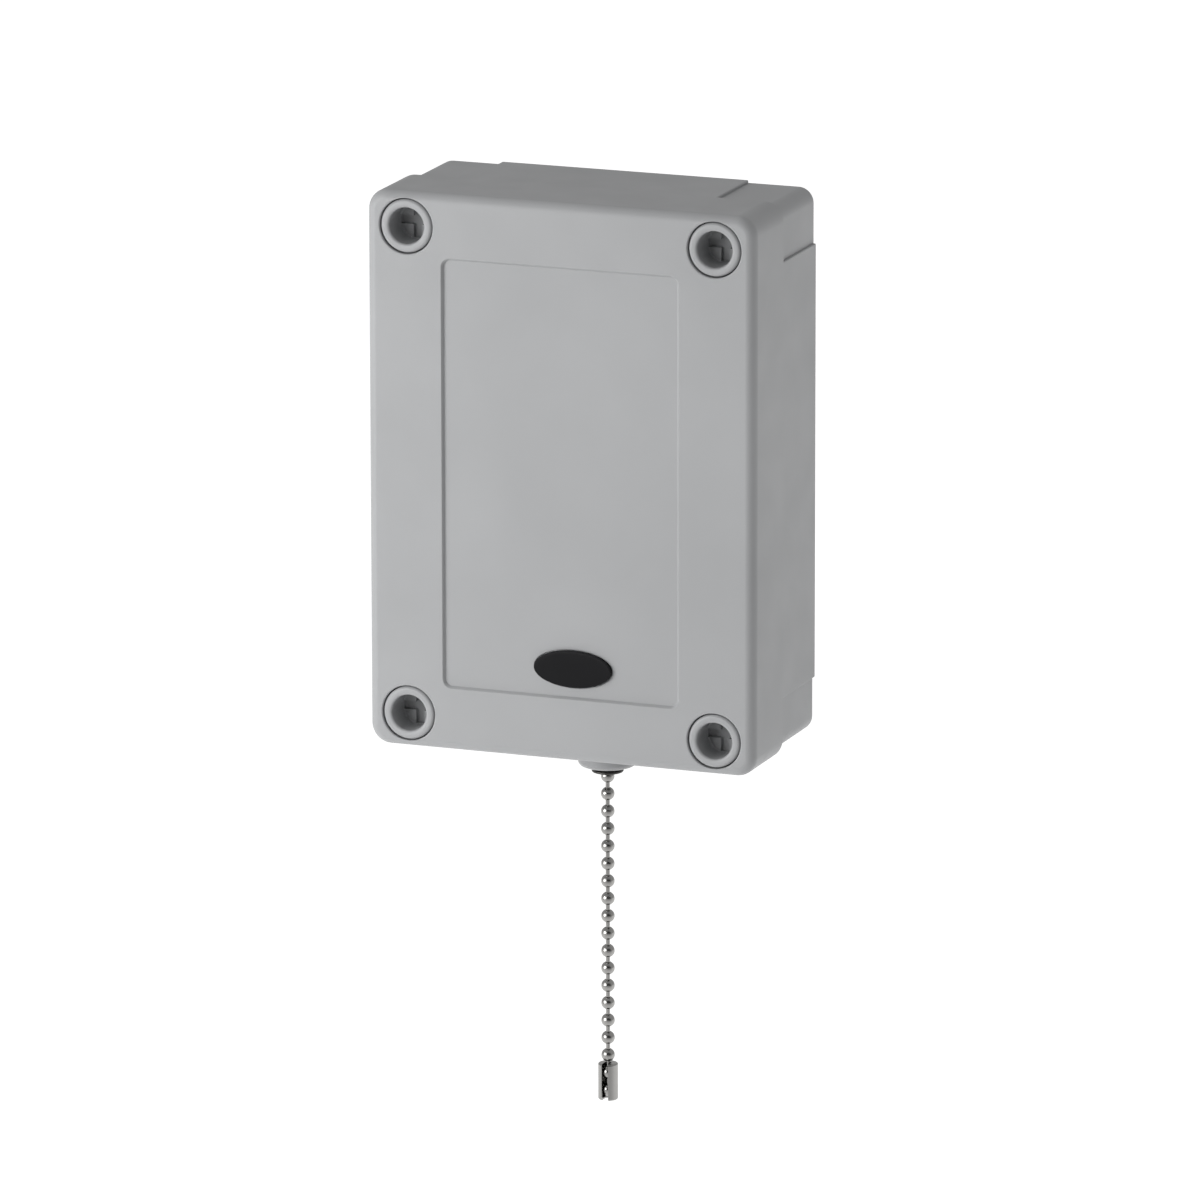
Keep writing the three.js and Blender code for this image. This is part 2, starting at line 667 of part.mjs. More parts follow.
// One lid screw: a round cupped head, cross slots in the floor of the cup and a plain shank
function lidScrew(side, end) {
  const headRadius = SCREW_HEAD / 2;
  const cupRadius = SCREW_CUP / 2;
  const shankRadius = SCREW_SHANK / 2;
  const headTop = SCREW_SEAT + SCREW_HEAD_LONG;
  const cupFloor = headTop - SCREW_CUP_DEEP;
  const tip = SCREW_SEAT - SCREW_SHANK_LONG;
  const form = toSolid(turnedOutward([
    [0, tip],
    [shankRadius - SCREW_POINT, tip],
    [shankRadius, tip + SCREW_POINT],
    [shankRadius, SCREW_SEAT],
    [headRadius, SCREW_SEAT],
    [headRadius, headTop - SCREW_EDGE],
    [headRadius - SCREW_EDGE, headTop],
    [cupRadius, headTop],
    [cupRadius, cupFloor],
    [0, cupFloor],
  ], FINE));
  const long = SCREW_SLOT_LONG / 2;
  const wide = SCREW_SLOT_WIDTH / 2;
  const slotFloor = cupFloor - SCREW_SLOT_DEEP;
  const slots = [
    block(-long, long, slotFloor, headTop, -wide, wide),
    block(-wide, wide, slotFloor, headTop, -long, long),
  ].map(toSolid);
  const geometry = toGeometry(cutAll(form, slots));
  geometry.translate(side * SCREW_X, 0, end * SCREW_Z);
  return geometry;
}

// Pull exit under the box
function onPullAxis(geometry) {
  geometry.translate(0, -PULL_DEPTH, 0);
  return geometry;
}

function bush() {
  const bore = BUSH_BORE / 2;
  const neck = STEM / 2 + SLIDE_GAP;
  const flange = BUSH_FLANGE / 2;
  const shank = BUSH_SHANK / 2;
  const rounded = arcPoints(
    flange - BUSH_ROUND, FLANGE_BOTTOM + BUSH_ROUND, BUSH_ROUND, -Math.PI / 2, 0, FILLET_STEPS,
  );
  return onPullAxis(turnedUpward([
    [bore, FLANGE_BOTTOM],
    ...rounded,
    [flange, FLANGE_TOP],
    [shank, FLANGE_TOP],
    [shank, BUSH_TOP],
    [neck, BUSH_TOP],
    [neck, NECK_BOTTOM],
    [bore, NECK_BOTTOM],
    [bore, FLANGE_BOTTOM],
  ], FINE));
}

function washerRing(outerDiameter, innerDiameter, fromZ, toZ, sides) {
  const outer = outerDiameter / 2;
  const inner = innerDiameter / 2;
  return onPullAxis(turnedUpward([
    [inner, fromZ],
    [outer, fromZ],
    [outer, toZ],
    [inner, toZ],
    [inner, fromZ],
  ], sides));
}

function bushNut() {
  const from = BOTTOM_INSIDE + SEAT_GAP;
  const to = from + NUT_HIGH;
  const nut = toSolid(upward(regularPolygon(NUT_SIDES, NUT_ACROSS_FLATS), from, to));
  const bore = pegUpward(BUSH_SHANK + 2 * SEAT_GAP, from - CUT_OVERRUN, to + CUT_OVERRUN, FINE);
  return onPullAxis(toGeometry(nut.subtract(toSolid(bore))));
}

function eyelet() {
  const inner = BEAD / 2 + EYELET_CLEAR;
  const barrel = BUSH_BORE / 2 - SEAT_GAP;
  const flange = EYELET_FLANGE / 2;
  const seat = FLANGE_BOTTOM - SEAT_GAP;
  const round = EYELET_FLANGE_THICK / 2;
  const rim = arcPoints(flange - round, seat - round, round, -Math.PI / 2, Math.PI / 2, FILLET_STEPS);
  return onPullAxis(turnedUpward([
    [inner, EYELET_BOTTOM + round],
    [inner + round, EYELET_BOTTOM],
    ...rim,
    [barrel, seat],
    [barrel, seat + EYELET_BARREL_LONG],
    [inner, seat + EYELET_BARREL_LONG],
    [inner, EYELET_BOTTOM + round],
  ], FINE));
}

// Bead chain: balls on a thin link, hanging straight down from the pull rod
function beadChain() {
  const link = BEAD_LINK / 2;
  const ball = BEAD / 2;
  const linkAngle = Math.acos(link / ball);
  const points = [[0, LAST_BEAD - ball]];
  for (let z = LAST_BEAD; z < TOP_BEAD + BEAD_PITCH / 2; z += BEAD_PITCH) {
    const lowest = z === LAST_BEAD;
    const fromAngle = lowest ? -Math.PI / 2 + Math.PI / BEAD_STEPS / 2 : -linkAngle;
    points.push(...arcPoints(0, z, ball, fromAngle, linkAngle, BEAD_STEPS));
  }
  points.push([0, TOP_BEAD + ball]);
  return onPullAxis(turnedUpward(points, BEAD_SIDES));
}

// A sleeve that takes the chain's last beads, slit along its front to let them in
function chainConnector() {
  const inner = BEAD / 2 + SEAT_GAP;
  const outer = inner + CONNECTOR_WALL;
  const neck = BEAD_LINK / 2 + SEAT_GAP;
  const shoulder = outer - BETWEEN_BEADS;
  const top = LAST_BEAD + (COUPLED_BEADS - 1) * BEAD_PITCH + inner + BETWEEN_BEADS;
  const bottom = LAST_BEAD - inner - BETWEEN_BEADS;
  const sleeve = toSolid(turnedUpward([
    [0, bottom],
    ...arcPoints(shoulder, bottom + BETWEEN_BEADS, BETWEEN_BEADS, -Math.PI / 2, 0, CONNECTOR_STEPS),
    ...arcPoints(shoulder, top - BETWEEN_BEADS, BETWEEN_BEADS, 0, Math.PI / 2, CONNECTOR_STEPS),
    [0, top],
  ], MEDIUM));
  const hollow = toSolid(pegUpward(2 * inner, bottom + BETWEEN_BEADS, top - BETWEEN_BEADS, MEDIUM));
  const hole = toSolid(pegUpward(2 * neck, bottom - CUT_OVERRUN, top + CUT_OVERRUN, SMALL));
  const slit = toSolid(block(-neck, neck, 0, outer + CUT_OVERRUN, bottom - CUT_OVERRUN, top + CUT_OVERRUN));
  return onPullAxis(toGeometry(cutAll(sleeve, [hollow, hole, slit])));
}

// Pull rod: a head that holds the top bead in a keyhole seat, and a stem up to the switch
function pullRod() {
  const head = BUSH_BORE / 2 - SLIDE_GAP;
  const stem = STEM / 2;
  const cavity = BEAD / 2 + SEAT_GAP;
  const slit = BEAD_LINK / 2 + SEAT_GAP;
  const form = toSolid(turnedUpward([
    [0, ROD_BOTTOM],
    [head, ROD_BOTTOM],
    [head, ROD_HEAD_TOP],
    [stem, ROD_HEAD_TOP],
    ...arcPoints(0, STEM_TOP - stem, stem, 0, Math.PI / 2, FILLET_STEPS),
  ], MEDIUM));
  const seat = toSolid(pegUpward(2 * cavity, ROD_SEAT, ROD_CAVITY_TOP, MEDIUM));
  const window = toSolid(block(-cavity, cavity, 0, BUSH_BORE, ROD_SEAT, ROD_CAVITY_TOP));
  const notch = toSolid(block(-slit, slit, -slit, BUSH_BORE, ROD_BOTTOM - CUT_OVERRUN, ROD_CAVITY_TOP));
  return onPullAxis(toGeometry(cutAll(form, [seat, window, notch])));
}

function pullSpring() {
  const geometry = coil(SPRING_MEAN, SPRING_WIRE, SPRING_LONG, SPRING_TURNS);
  geometry.translate(0, 0, SPRING_BOTTOM);
  return onPullAxis(geometry);
}

function capClip() {
  const outer = pegUpward(CLIP_DIAMETER, CLIP_BOTTOM, CLIP_BOTTOM + CLIP_THICK, MEDIUM);
  const from = CLIP_BOTTOM - CUT_OVERRUN;
  const to = CLIP_BOTTOM + CLIP_THICK + CUT_OVERRUN;
  const bore = pegUpward(STEM + 2 * SEAT_GAP, from, to, MEDIUM);
  const mouth = block(-CLIP_MOUTH / 2, CLIP_MOUTH / 2, 0, CLIP_DIAMETER, from, to);
  return onPullAxis(toGeometry(cutAll(toSolid(outer), [toSolid(bore), toSolid(mouth)])));
}

// Switch: a case, a lever on a pin and the button that the lever presses
function switchBody() {
  const left = SWITCH_RIGHT - SWITCH_LONG;
  const front = SWITCH_BACK + SWITCH_THICK;
  const caseBlock = toSolid(block(
    left, SWITCH_RIGHT, SWITCH_BACK, front, SWITCH_BOTTOM, SWITCH_BOTTOM + SWITCH_HIGH,
  ));
  const cheekThick = (SWITCH_THICK - LEVER_WIDTH) / 2 - SEAT_GAP;
  const cheekBottom = PIVOT_Z - KNUCKLE / 2;
  const cheekTop = SWITCH_BOTTOM + CHEEK_OVERLAP;
  const cheeks = [SWITCH_BACK, front - cheekThick].map((depth) => toSolid(block(
    LEVER_ARM - KNUCKLE / 2, SWITCH_RIGHT, depth, depth + cheekThick, cheekBottom, cheekTop,
  )));
  const buttonHole = pegUpward(
    BUTTON_DIAMETER + 2 * SEAT_GAP, SWITCH_BOTTOM - CUT_OVERRUN, SWITCH_BOTTOM + BUTTON_LONG, SMALL,
  );
  buttonHole.translate(LEVER_ARM - BUTTON_ARM, -PULL_DEPTH, 0);
  const pinHole = pegOutward(
    PIVOT_PIN + 2 * SEAT_GAP, SWITCH_BACK - CUT_OVERRUN, front + CUT_OVERRUN, SMALL,
  );
  pinHole.translate(LEVER_ARM, 0, PIVOT_Z);
  const body = joinAll([caseBlock, ...cheeks]);
  return toGeometry(cutAll(body, [toSolid(buttonHole), toSolid(pinHole)]));
}

function switchLever() {
  const from = PULL_DEPTH - LEVER_WIDTH / 2;
  const to = PULL_DEPTH + LEVER_WIDTH / 2;
  const blade = toSolid(block(-LEVER_OVERHANG, LEVER_ARM, from, to, LEVER_BOTTOM, LEVER_TOP));
  const knuckle = pegOutward(KNUCKLE, from, to, SMALL);
  const pinHole = pegOutward(PIVOT_PIN + 2 * SEAT_GAP, from - CUT_OVERRUN, to + CUT_OVERRUN, SMALL);
  knuckle.translate(LEVER_ARM, 0, PIVOT_Z);
  pinHole.translate(LEVER_ARM, 0, PIVOT_Z);
  return toGeometry(blade.add(toSolid(knuckle)).subtract(toSolid(pinHole)));
}

function leverPin() {
  const half = PIVOT_PIN_LONG / 2;
  const pin = pegOutward(PIVOT_PIN, PULL_DEPTH - half, PULL_DEPTH + half, SMALL);
  pin.translate(LEVER_ARM, 0, PIVOT_Z);
  return pin;
}

function switchButton() {
  const bottom = LEVER_TOP + SEAT_GAP;
  const button = pegUpward(BUTTON_DIAMETER, bottom, bottom + BUTTON_LONG, SMALL);
  button.translate(LEVER_ARM - BUTTON_ARM, -PULL_DEPTH, 0);
  return button;
}

// Circuit board with a notch for the pull rod
function circuitBoard() {
  const plate = toSolid(outward(
    roundedRectangle(BOARD_WIDTH, BOARD_HEIGHT, BOARD_CORNER), BOARD_BACK, BOARD_FRONT,
  ));
  const notch = toSolid(block(
    -BOARD_NOTCH_WIDTH / 2, BOARD_NOTCH_WIDTH / 2, BOARD_BACK - CUT_OVERRUN, BOARD_FRONT + CUT_OVERRUN,
    -BOARD_HEIGHT, CAP_TOP + SEAT_GAP,
  ));
  const holes = boardPoints().map(([x, z]) => {
    const hole = pegOutward(
      BOARD_SCREW_SHANK + 2 * SEAT_GAP, BOARD_BACK - CUT_OVERRUN, BOARD_FRONT + CUT_OVERRUN, SMALL,
    );
    hole.translate(x, 0, z);
    return toSolid(hole);
  });
  return toGeometry(cutAll(plate, [notch, ...holes]));
}

function boardScrew(x, z) {
  const shank = BOARD_SCREW_SHANK / 2;
  const head = BOARD_SCREW_HEAD / 2;
  const seat = BOARD_FRONT + SEAT_GAP;
  const top = seat + BOARD_SCREW_HEAD_HIGH;
  const form = toSolid(turnedOutward([
    [0, seat - BOARD_SCREW_LONG],
    [shank, seat - BOARD_SCREW_LONG],
    [shank, seat],
    [head, seat],
    [head, top - BOARD_SCREW_HEAD_HIGH / 2],
    [shank, top],
    [0, top],
  ], MEDIUM));
  const half = BOARD_SCREW_SLOT / 2;
  const slot = toSolid(block(-head, head, top - BOARD_SCREW_SLOT_DEEP, top + CUT_OVERRUN, -half, half));
  const geometry = toGeometry(form.subtract(slot));
  geometry.translate(x, 0, z);
  return geometry;
}

// Battery in its open holder
function batteryHolder() {
  const from = BOARD_FRONT + SEAT_GAP;
  const halfLong = HOLDER_INSIDE_LONG / 2;
  const halfHigh = HOLDER_INSIDE_HIGH / 2;
  const outside = toSolid(block(
    -halfLong - HOLDER_WALL, halfLong + HOLDER_WALL, from, from + HOLDER_HIGH,
    -halfHigh - HOLDER_WALL, halfHigh + HOLDER_WALL,
  ));
  const inside = toSolid(block(
    -halfLong, halfLong, from + HOLDER_WALL, from + HOLDER_HIGH + CUT_OVERRUN, -halfHigh, halfHigh,
  ));
  const geometry = toGeometry(outside.subtract(inside));
  geometry.translate(-HOLDER_LEFT, 0, HOLDER_UP);
  return geometry;
}

function batteryCell() {
  const radius = CELL_DIAMETER / 2;
  const cap = CELL_CAP_DIAMETER / 2;
  const geometry = turnedUpward([
    [0, 0],
    [radius, 0],
    [radius, CELL_LONG],
    [cap, CELL_LONG],
    [cap, CELL_SPAN],
    [0, CELL_SPAN],
  ], MEDIUM);
  geometry.rotateY(Math.PI / 2);
  geometry.translate(-HOLDER_LEFT - CELL_SPAN / 2, -CELL_AXIS_DEPTH, HOLDER_UP);
  return geometry;
}

function batteryContact(side) {
  const from = BOARD_FRONT + SEAT_GAP + HOLDER_WALL + SEAT_GAP;
  const inner = CELL_SPAN / 2 + SEAT_GAP;
  const geometry = block(
    inner, inner + CONTACT_THICK, from, from + CONTACT_HIGH, -CONTACT_WIDTH / 2, CONTACT_WIDTH / 2,
  );
  geometry.translate(0, 0, HOLDER_UP);
  if (side < 0) {
    geometry.translate(-HOLDER_LEFT - 2 * inner - CONTACT_THICK, 0, 0);
    return geometry;
  }
  geometry.translate(-HOLDER_LEFT, 0, 0);
  return geometry;
}

// Parts soldered to the front of the board
function onBoard(width, height, x, z, gap, thick) {
  const from = BOARD_FRONT + gap;
  return block(x - width / 2, x + width / 2, from, from + thick, z - height / 2, z + height / 2);
}

function radioShield() {
  const width = RADIO_WIDTH - 2 * SHIELD_MARGIN;
  const height = RADIO_HEIGHT - 2 * SHIELD_MARGIN;
  return onBoard(width, height, RADIO_X, RADIO_Z, RADIO_THICK + 2 * SEAT_GAP, SHIELD_HIGH);
}

function aerial() {
  const geometry = coil(AERIAL_MEAN, AERIAL_WIRE, AERIAL_LONG, AERIAL_TURNS);
  const depth = BOARD_FRONT + SEAT_GAP + (AERIAL_MEAN + AERIAL_WIRE) / 2;
  geometry.translate(AERIAL_X, -depth, AERIAL_Z);
  return geometry;
}

function capacitor() {
  const radius = CAPACITOR_DIAMETER / 2;
  const from = BOARD_FRONT + SEAT_GAP;
  const geometry = turnedOutward([
    [0, from],
    [radius, from],
    [radius, from + CAPACITOR_LONG - SEAT_GAP],
    [radius - SEAT_GAP, from + CAPACITOR_LONG],
    [0, from + CAPACITOR_LONG],
  ], MEDIUM);
  geometry.translate(CAPACITOR_X, 0, CAPACITOR_Z);
  return geometry;
}

addMesh("base", base(), GREY_PLASTIC);
addMesh("lid", lid(), GREY_PLASTIC);
addMesh("lid_seal", seal(), BLACK_RUBBER);
addMesh("badge", badge(), BLACK_GLOSS);
FOUR_CORNERS.forEach(([side, end], i) => {
  addMesh(`lid_screw_${i + 1}`, lidScrew(side, end), GREY_SCREW);
});
addMesh("chain_bush", bush(), GREY_PLASTIC);
addMesh("bush_seal", washerRing(
  WASHER_DIAMETER, BUSH_SHANK + 2 * SEAT_GAP, FLANGE_TOP + SEAT_GAP, BOTTOM_OUTSIDE - SEAT_GAP, MEDIUM,
), BLACK_RUBBER);
addMesh("bush_nut", bushNut(), BLACK_PLASTIC);
addMesh("eyelet", eyelet(), DARK_METAL);
addMesh("bead_chain", beadChain(), NICKEL);
addMesh("chain_connector", chainConnector(), NICKEL);
addMesh("pull_rod", pullRod(), WHITE_NYLON);
addMesh("pull_spring", pullSpring(), STEEL);
addMesh("spring_cap", washerRing(
  CAP_DIAMETER, STEM + 2 * SEAT_GAP, CAP_BOTTOM, CAP_TOP, MEDIUM,
), WHITE_NYLON);
addMesh("cap_clip", capClip(), STEEL);
addMesh("switch_body", switchBody(), BLACK_PLASTIC);
addMesh("switch_lever", switchLever(), STEEL);
addMesh("lever_pin", leverPin(), STEEL);
addMesh("switch_button", switchButton(), WHITE_NYLON);
addMesh("circuit_board", circuitBoard(), BOARD_GREEN);
boardPoints().forEach(([x, z], i) => {
  addMesh(`board_screw_${i + 1}`, boardScrew(x, z), STEEL);
});
addMesh("battery_holder", batteryHolder(), BLACK_PLASTIC);
addMesh("battery_cell", batteryCell(), CELL_SLEEVE);
addMesh("battery_contact_left", batteryContact(-1), BRASS);
addMesh("battery_contact_right", batteryContact(1), BRASS);
addMesh("radio_module", onBoard(
  RADIO_WIDTH, RADIO_HEIGHT, RADIO_X, RADIO_Z, SEAT_GAP, RADIO_THICK,
), BOARD_GREEN);
addMesh("radio_shield", radioShield(), STEEL);
addMesh("aerial", aerial(), COPPER);
addMesh("processor_chip", onBoard(
  CHIP_SIZE, CHIP_SIZE, CHIP_X, CHIP_Z, SEAT_GAP, CHIP_THICK,
), BLACK_PLASTIC);
addMesh("capacitor", capacitor(), CAPACITOR_CAN);

export default alarm;
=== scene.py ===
"""Looks of the emergency pull cord alarm: camera, light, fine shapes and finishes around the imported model.

Lengths are metres in the row frame: X to the right, Z up, and the wall at Y = 0 with the front at -Y.
A depth is a distance out from the wall, so it is -Y.
"""

import json
import math

import bmesh
import bpy
from mathutils import Matrix, Vector


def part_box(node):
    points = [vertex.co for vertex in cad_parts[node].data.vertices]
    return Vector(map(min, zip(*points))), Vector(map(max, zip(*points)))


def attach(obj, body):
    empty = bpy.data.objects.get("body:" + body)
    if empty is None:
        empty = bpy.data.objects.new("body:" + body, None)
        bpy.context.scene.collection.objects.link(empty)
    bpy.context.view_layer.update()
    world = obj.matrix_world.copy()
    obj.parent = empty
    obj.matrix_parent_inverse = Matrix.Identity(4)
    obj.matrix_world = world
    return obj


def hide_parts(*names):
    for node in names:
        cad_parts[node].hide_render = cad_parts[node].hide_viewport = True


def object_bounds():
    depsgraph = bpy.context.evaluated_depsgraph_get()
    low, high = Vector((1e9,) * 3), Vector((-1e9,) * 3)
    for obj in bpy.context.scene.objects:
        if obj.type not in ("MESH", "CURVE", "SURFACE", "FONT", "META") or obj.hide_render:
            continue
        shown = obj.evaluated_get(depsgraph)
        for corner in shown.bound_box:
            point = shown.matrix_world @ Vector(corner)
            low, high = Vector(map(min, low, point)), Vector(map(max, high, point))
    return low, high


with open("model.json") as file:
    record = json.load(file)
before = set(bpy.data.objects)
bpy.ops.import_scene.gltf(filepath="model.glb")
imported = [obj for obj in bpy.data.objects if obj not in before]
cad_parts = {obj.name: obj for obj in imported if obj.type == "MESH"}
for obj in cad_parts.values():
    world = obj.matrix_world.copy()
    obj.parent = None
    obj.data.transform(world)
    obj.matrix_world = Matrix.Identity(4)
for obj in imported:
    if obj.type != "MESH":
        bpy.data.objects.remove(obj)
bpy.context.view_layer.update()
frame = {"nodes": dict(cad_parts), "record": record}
NODES = frame["nodes"]
SLOT_OF = {part["node"]: part["material_slot"] for part in frame["record"]["subparts"]}

MM = 0.001

# The photograph's view: its side and the lens's focal length in pixels, the lens's turns and distance,
# and how far its axis passes from the middle of the front face
PHOTO_SIDE = 1200
FOCAL_PIXELS = 11728.7
CAMERA_YAW = math.radians(20.914)
CAMERA_PITCH = math.radians(13.738)
CAMERA_ROLL = math.radians(-0.095)
CAMERA_DISTANCE = 2.67539
AIM_RIGHT = 0.009176
AIM_UP = -0.026461
SENSOR = 36

# Sizes of the fine pieces, which follow the solids' apart from a few small rounds
SEAT_GAP = 0.3 * MM
FRONT_FILLET = 2.4 * MM
LID_CORNER = 4.8 * MM
LID_WALL = 2.5 * MM
LID_FRONT = 3 * MM
LID_COLUMN_RADIUS = 7.6 * MM
PANEL_DEPTH = 0.8 * MM
PANEL_WIDTH = 56.4 * MM
PANEL_HEIGHT = 99.5 * MM
PANEL_CORNER = 1.4 * MM
PANEL_SLOPE = 0.8 * MM
BADGE_GAP = 0.25 * MM
BADGE_SEAT = 0.4 * MM
BASE_INSET = 1.2 * MM
BASE_WALL = 3 * MM
BASE_BACK = 2.6 * MM
BACK_EDGE = 0.8 * MM
SIDE_PANEL = 0.7 * MM
SIDE_PANEL_BACK = 0.8 * MM
SIDE_PANEL_SHORT = 12.9 * MM
END_PANEL_SHORT = 15.8 * MM
SIDE_PANEL_ROUND = 0.3 * MM
LIP_INSET = 2.8 * MM
LIP_CORNER = 2.3 * MM
LIP_THICK = 1.2 * MM
LIP_HIGH = 2.4 * MM
COLUMN_SPACE_RADIUS = 9 * MM
SCREW_X = 37.5 * MM
SCREW_Z = 57.3 * MM
PILLAR_RADIUS = 6.5 * MM
PILLAR_BORE_RADIUS = 3 * MM
PILLAR_BORE_FLOOR = 9 * MM
POST_X = 35.3 * MM
POST_Z = 43 * MM
POST_RADIUS = 3.2 * MM
POST_TOP = 7.2 * MM
POST_BORE_RADIUS = 1.6 * MM
POST_BORE_FLOOR = 1.2 * MM
SLOT_X = 20 * MM
SLOT_Z = 54.5 * MM
SLOT_LONG = 7.5 * MM
SLOT_WIDE = 4.6 * MM
BUSH_HOLE_RADIUS = 5.3 * MM
BUSH_HOLE_LONG = 12 * MM
BEAD = 3.2 * MM
BEAD_PITCH = 4.2 * MM
LINK = 1 * MM
FOUR_CORNERS = ((-1, 1), (1, 1), (-1, -1), (1, -1))

# Edges as shares: the recess's way out and up its slope, and the badge's way in and below its front
PANEL_EDGE_SHARES = ((0, 0), (0.35, 0.12), (0.75, 0.8), (1.05, 1))
BADGE_EDGE_SHARES = ((0, 1), (0.1, 0.5), (0.4, 0.15), (1, 0.1))

# How far a cutter reaches past what it cuts, the turning axes, and the facets and steps of rounds
OVERRUN = 1 * MM
OUTWARD = (0, -1, 0)
UPWARD = (0, 0, 1)
FINE_SIDES = 96
SIDES = 64
COARSE_SIDES = 48
CORNER_STEPS = 12
PANEL_CORNER_STEPS = 10
FILLET_STEPS = 12
BACK_EDGE_STEPS = 6
ROUND_STEPS = 8
DOME_STEPS = 8
EDGE_STEPS = 4


def make_camera():
    """Stands where the photograph was taken from, with the photograph's framing."""
    cos_pitch = math.cos(CAMERA_PITCH)
    back = Vector((
        math.sin(CAMERA_YAW) * cos_pitch,
        -math.cos(CAMERA_YAW) * cos_pitch,
        math.sin(CAMERA_PITCH),
    ))
    level_right = Vector((math.cos(CAMERA_YAW), math.sin(CAMERA_YAW), 0))
    level_up = level_right.cross(-back)
    right = level_right * math.cos(CAMERA_ROLL) + level_up * math.sin(CAMERA_ROLL)
    up = level_up * math.cos(CAMERA_ROLL) - level_right * math.sin(CAMERA_ROLL)
    front_middle = Vector((0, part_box("lid")[0].y, 0))
    place = front_middle + right * AIM_RIGHT + up * AIM_UP + back * CAMERA_DISTANCE
    data = bpy.data.cameras.new("photo_camera")
    data.sensor_width = SENSOR
    data.lens = FOCAL_PIXELS / PHOTO_SIDE * SENSOR
    data.clip_start = 0.05
    data.clip_end = 60
    camera = bpy.data.objects.new("photo_camera", data)
    turn = Matrix((right, up, back)).transposed().to_4x4()
    camera.matrix_world = Matrix.Translation(place) @ turn
    bpy.context.scene.collection.objects.link(camera)
    bpy.context.scene.camera = camera


make_camera()


def mesh_object(name, vertices, faces):
    """An object of the scene from plain corners and faces."""
    data = bpy.data.meshes.new(name)
    data.from_pydata([tuple(v) for v in vertices], [], faces)
    data.update()
    made = bpy.data.objects.new(name, data)
    bpy.context.scene.collection.objects.link(made)
    return made


def loft(name, rings):
    """A closed body through rings of as many points each, with flat ends."""
    count = len(rings[0])
    vertices = [point for ring in rings for point in ring]
    faces = [tuple(reversed(range(count)))]
    for level in range(len(rings) - 1):
        low = level * count
        high = low + count
        for i in range(count):
            j = (i + 1) % count
            faces.append((low + i, low + j, high + j, high + i))
    faces.append(tuple(range(high, high + count)))
    return face_outwards(mesh_object(name, vertices, faces))


def turned(name, profile, sides, centre, axis):
    """A turned body: profile points are (radius, distance along the axis). A closed profile makes a ring."""
    along = Vector(axis)
    first = along.orthogonal().normalized()
    second = along.cross(first)
    closed = profile[0] == profile[-1]
    points = profile[:-1] if closed else profile
    built = bmesh.new()
    rings = []
    for radius, distance in points:
        middle = Vector(centre) + along * distance
        if radius == 0:
            rings.append([built.verts.new(middle)])
            continue
        rings.append([
            built.verts.new(middle + (first * math.cos(a) + second * math.sin(a)) * radius)
            for a in (2 * math.pi * i / sides for i in range(sides))
        ])
    pairs = list(zip(rings, rings[1:]))
    if closed:
        pairs.append((rings[-1], rings[0]))
    for low, high in pairs:
        for i in range(sides):
            j = (i + 1) % sides
            corners = [low[i % len(low)], low[j % len(low)], high[j % len(high)], high[i % len(high)]]
            unique = list(dict.fromkeys(corners))
            if len(unique) > 2:
                built.faces.new(unique)
    return object_of(built, name)


def object_of(built, name):
    """An object of the scene from a mesh that was built here, with its faces outwards."""
    bmesh.ops.recalc_face_normals(built, faces=built.faces)
    data = bpy.data.meshes.new(name)
    built.to_mesh(data)
    built.free()
    made = bpy.data.objects.new(name, data)
    bpy.context.scene.collection.objects.link(made)
    return made


def face_outwards(made):
    """Turns every face of a closed body outwards."""
    built = bmesh.new()
    built.from_mesh(made.data)
    bmesh.ops.recalc_face_normals(built, faces=built.faces)
    built.to_mesh(made.data)
    built.free()
    return made


def rounded_rectangle(width, height, radius, depth, steps, centre=(0, 0)):
    """Points round a rectangle with round corners, at a depth out from the wall."""
    points = []
    for side, end, start in ((1, 1, 0), (-1, 1, 90), (-1, -1, 180), (1, -1, 270)):
        for i in range(steps + 1):
            angle = math.radians(start + 90 * i / steps)
            x = side * (width / 2 - radius) + radius * math.cos(angle)
            z = end * (height / 2 - radius) + radius * math.sin(angle)
            points.append((centre[0] + x, -depth, centre[1] + z))
    return points


def ellipse(width, height, depth, sides, centre):
    """Points round an upright oval, at a depth out from the wall."""
    return [
        (centre[0] + width / 2 * math.cos(a), -depth, centre[1] + height / 2 * math.sin(a))
        for a in (2 * math.pi * i / sides for i in range(sides))
    ]


def arc(centre_radius, centre_distance, radius, start, stop, steps):
    """Profile points along an arc, angles in degrees from the outward radius."""
    points = []
    for i in range(steps + 1):
        angle = math.radians(start + (stop - start) * i / steps)
        points.append((centre_radius + radius * math.cos(angle), centre_distance + radius * math.sin(angle)))
    return points


def combine(made, others, operation):
    """Applies a boolean with each of the others in turn, and removes them."""
    for other in others:
        step = made.modifiers.new("step", "BOOLEAN")
        step.operation = operation
        step.solver = "EXACT"
        step.object = other
        graph = bpy.context.evaluated_depsgraph_get()
        data = bpy.data.meshes.new_from_object(made.evaluated_get(graph))
        made.modifiers.clear()
        old = made.data
        made.data = data
        bpy.data.meshes.remove(old)
        bpy.data.objects.remove(other)
    return made


def smooth(made, angle=32):
    """Smooth shading with sharp edges kept, and flat faces left flat beside small fillets."""
    made.data.shade_smooth()
    made.data.set_sharp_from_angle(angle=math.radians(angle))
    weighted = made.modifiers.new("weighted", "WEIGHTED_NORMAL")
    weighted.keep_sharp = True
    weighted.weight = 100
    return made


# Finishes


def new_material(name):
    """A fresh material, with its node tree and its shader."""
    material = bpy.data.materials.new(name)
    material.use_nodes = True
    shader = material.node_tree.nodes["Principled BSDF"]
    return material, material.node_tree, shader


